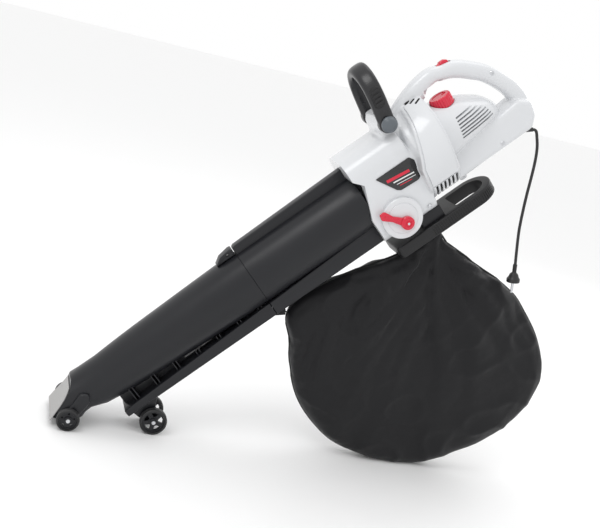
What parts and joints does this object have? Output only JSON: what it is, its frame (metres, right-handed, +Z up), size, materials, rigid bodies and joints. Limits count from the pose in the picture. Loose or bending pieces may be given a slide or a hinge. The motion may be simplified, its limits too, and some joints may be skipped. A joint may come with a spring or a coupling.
{
  "type": "leaf blower",
  "caption": "Corded leaf blower and vacuum: white motor housing with a D-handle, long black suction tube with a flat blow duct, front handle, wheels and a black collection bag.",
  "frame": {"origin": "on the floor under the middle of the object's box, the free cord and its plug left out", "axes": "+Z up, +X along the floor from the nozzle towards the housing, +Y across to the side away from the selector lever"},
  "size_m": [0.9966, 0.194, 0.8336],
  "materials": {
    "white_plastic": "gloss",
    "black_plastic": "satin",
    "soft_rubber": "matte",
    "tyre_rubber": "satin",
    "red_plastic": "gloss",
    "grey_plastic": "satin",
    "bag_fabric": "matte",
    "steel": "satin",
    "copper_parts": "satin",
    "cord_rubber": "satin",
    "plate_black": "gloss"
  },
  "bodies": {
    "machine": {"housing_near": "white_plastic", "housing_far": "white_plastic", "casing_belt_near": "white_plastic", "casing_belt_far": "white_plastic", "outlet_grille_near": "white_plastic", "outlet_grille_far": "white_plastic", "strap_eyelet": "white_plastic", "selector_disc": "white_plastic", "nozzle": "black_plastic", "tube_lower": "black_plastic", "blow_duct_lower": "black_plastic", "tube_upper": "black_plastic", "tube_clip": "black_plastic", "rear_axle_bracket": "black_plastic", "bag_frame": "black_plastic", "bag_collar": "black_plastic", "motor_plate": "black_plastic", "micro_switch": "black_plastic", "dial_potentiometer": "grey_plastic", "collection_bag": "bag_fabric", "bag_strap": "bag_fabric", "front_axle_near": "steel", "front_axle_far": "steel", "rear_axle": "steel", "motor_stator": "steel", "bearing_front": "steel", "bearing_rear": "steel", "plug_pin_near": "steel", "plug_pin_far": "steel", "cord_gland": "cord_rubber", "power_cord": "cord_rubber", "power_plug": "cord_rubber", "rating_plate": "plate_black", "brush_holder_near": "plate_black", "brush_holder_far": "plate_black"},
    "front_wheel_near": {"front_wheel_near_rim": "black_plastic", "front_wheel_near_tyre": "tyre_rubber"},
    "front_wheel_far": {"front_wheel_far_rim": "black_plastic", "front_wheel_far_tyre": "tyre_rubber"},
    "rear_wheel_near": {"rear_wheel_near_rim": "black_plastic", "rear_wheel_near_tyre": "tyre_rubber"},
    "rear_wheel_far": {"rear_wheel_far_rim": "black_plastic", "rear_wheel_far_tyre": "tyre_rubber"},
    "front_handle": {"front_handle": "black_plastic", "grip_pad_near": "soft_rubber", "grip_pad_far": "soft_rubber", "handle_pin_near": "steel", "handle_pin_far": "steel"},
    "lock_button_near": {"lock_button_near": "grey_plastic"},
    "lock_button_far": {"lock_button_far": "grey_plastic"},
    "selector": {"selector_lever": "red_plastic", "selector_shaft": "steel", "diverter_flap": "black_plastic"},
    "speed_dial": {"speed_dial": "red_plastic"},
    "power_switch": {"power_switch": "red_plastic"},
    "rotor": {"motor_shaft": "steel", "armature_core": "copper_parts", "commutator": "copper_parts", "impeller": "grey_plastic", "cooling_fan": "grey_plastic"}
  },
  "joints": [
    {"name": "front_wheel_near_spin", "type": "hinge", "parent": "machine", "child": "front_wheel_near", "pos_m": [-0.46871, -0.0635, 0.0215], "axis": [0, 1, 0], "continuous": true},
    {"name": "front_wheel_far_spin", "type": "hinge", "parent": "machine", "child": "front_wheel_far", "pos_m": [-0.46871, 0.0635, 0.0215], "axis": [0, 1, 0], "continuous": true},
    {"name": "rear_wheel_near_spin", "type": "hinge", "parent": "machine", "child": "rear_wheel_near", "pos_m": [-0.30561, -0.03, 0.0265], "axis": [0, 1, 0], "continuous": true},
    {"name": "rear_wheel_far_spin", "type": "hinge", "parent": "machine", "child": "rear_wheel_far", "pos_m": [-0.30561, 0.03, 0.0265], "axis": [0, 1, 0], "continuous": true},
    {"name": "front_handle_tilt", "type": "hinge", "parent": "machine", "child": "front_handle", "pos_m": [-0.01277, 0, 0.68396], "axis": [0, 1, 0], "range_deg": [-80, 45]},
    {"name": "lock_button_near_press", "type": "slide", "parent": "front_handle", "child": "lock_button_near", "axis": [0, 1, 0], "range_m": [0, 0.002], "stiffness_N_per_m": 600},
    {"name": "lock_button_far_press", "type": "slide", "parent": "front_handle", "child": "lock_button_far", "axis": [0, -1, 0], "range_m": [0, 0.002], "stiffness_N_per_m": 600},
    {"name": "selector_turn", "type": "hinge", "parent": "machine", "child": "selector", "pos_m": [0.07077, 0, 0.51414], "axis": [0, 1, 0], "range_deg": [0, 90]},
    {"name": "speed_dial_turn", "type": "hinge", "parent": "machine", "child": "speed_dial", "pos_m": [0.09338, -0.016, 0.74626], "axis": [-0.7305, 0, 0.6829], "range_deg": [0, 270]},
    {"name": "power_switch_slide", "type": "slide", "parent": "machine", "child": "power_switch", "axis": [0.6829, 0, 0.7305], "range_m": [0, 0.0045]},
    {"name": "rotor_spin", "type": "hinge", "parent": "machine", "child": "rotor", "pos_m": [0.11594, 0, 0.68547], "axis": [0.6829, 0, 0.7305], "continuous": true}
  ]
}
